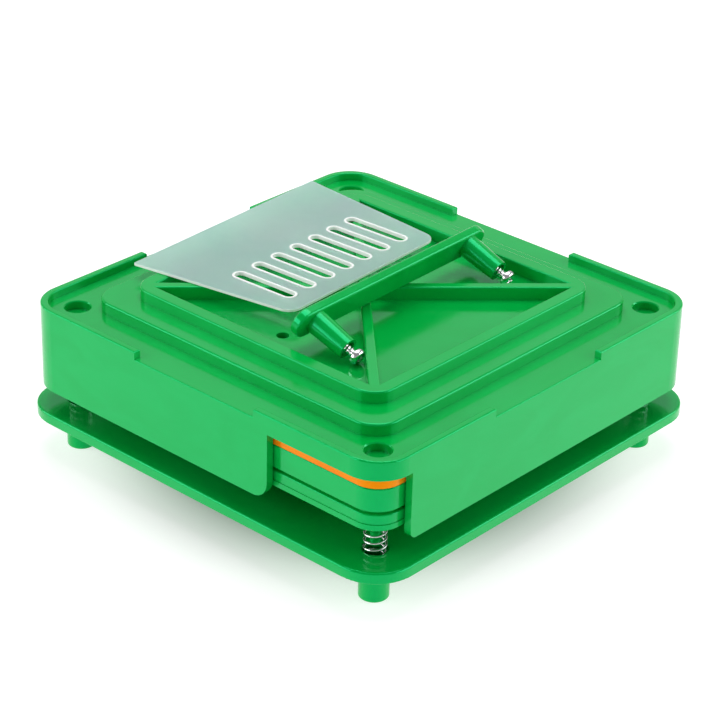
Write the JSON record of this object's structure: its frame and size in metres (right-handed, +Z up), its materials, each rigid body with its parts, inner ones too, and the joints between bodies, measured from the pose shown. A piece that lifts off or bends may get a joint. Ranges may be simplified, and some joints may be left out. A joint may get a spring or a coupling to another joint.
{
  "type": "manual capsule filler",
  "caption": "Hand-operated capsule filling board stacked for storage: sprung base, drilled plates, powder frame, tamper with handle, and spreader card.",
  "frame": {"origin": "centre of the rectangle of foot soles, on the surface the board stands on", "axes": "+Z up; the handle bar lies along Y; the powder spout of the frame is at the +X, -Y corner; the spreader card points to -X"},
  "size_m": [0.1854, 0.1854, 0.0798],
  "materials": {
    "green_plastic": "glossy moulded",
    "orange_plastic": "glossy moulded",
    "spring_steel": "bright drawn wire",
    "zinc_screw": "bright zinc",
    "frosted_sheet": "frosted translucent sheet"
  },
  "bodies": {
    "base": {"base_plate": "green_plastic", "spring_front_left": "spring_steel", "spring_front_right": "spring_steel", "spring_back_right": "spring_steel", "spring_back_left": "spring_steel"},
    "body_plate": {"body_plate": "green_plastic", "guide_pegs": "green_plastic"},
    "cap_plate": {"cap_plate": "green_plastic"},
    "middle_plate": {"middle_plate": "orange_plastic"},
    "powder_frame": {"powder_frame": "green_plastic"},
    "tamper": {"tamper_plate": "green_plastic", "tamper_pins": "green_plastic"},
    "handle": {"handle": "green_plastic"},
    "front_screw": {"handle_screw_front": "zinc_screw"},
    "back_screw": {"handle_screw_back": "zinc_screw"},
    "card": {"spreader_card": "frosted_sheet"}
  },
  "joints": [
    {"name": "press", "type": "slide", "parent": "base", "child": "body_plate", "axis": [0, 0, 1], "range_m": [-0.008, 0], "stiffness_N_per_m": 5900, "springref_m": 0.0025, "deforming": ["spring_front_left", "spring_front_right", "spring_back_right", "spring_back_left"]},
    {"name": "cap_plate_lift", "type": "slide", "parent": "body_plate", "child": "cap_plate", "axis": [0, 0, 1], "range_m": [0, 0.03]},
    {"name": "middle_plate_lift", "type": "slide", "parent": "cap_plate", "child": "middle_plate", "axis": [0, 0, 1], "range_m": [0, 0.03]},
    {"name": "frame_lift", "type": "slide", "parent": "middle_plate", "child": "powder_frame", "axis": [0, 0, 1], "range_m": [0, 0.06]},
    {"name": "tamper_lift", "type": "slide", "parent": "powder_frame", "child": "tamper", "axis": [0, 0, 1], "range_m": [0, 0.05]},
    {"name": "handle_lift", "type": "slide", "parent": "tamper", "child": "handle", "axis": [0, 0, 1], "range_m": [0, 0.05]},
    {"name": "front_screw_drive", "type": "slide", "parent": "handle", "child": "front_screw", "axis": [0.9361, 0.0278, -0.3507], "range_m": [-0.0038, 0]},
    {"name": "back_screw_drive", "type": "slide", "parent": "handle", "child": "back_screw", "axis": [0.9361, 0.0278, -0.3507], "range_m": [-0.0038, 0]},
    {"name": "card_lift", "type": "slide", "parent": "tamper", "child": "card", "axis": [0, 0, 1], "range_m": [0, 0.03]}
  ]
}
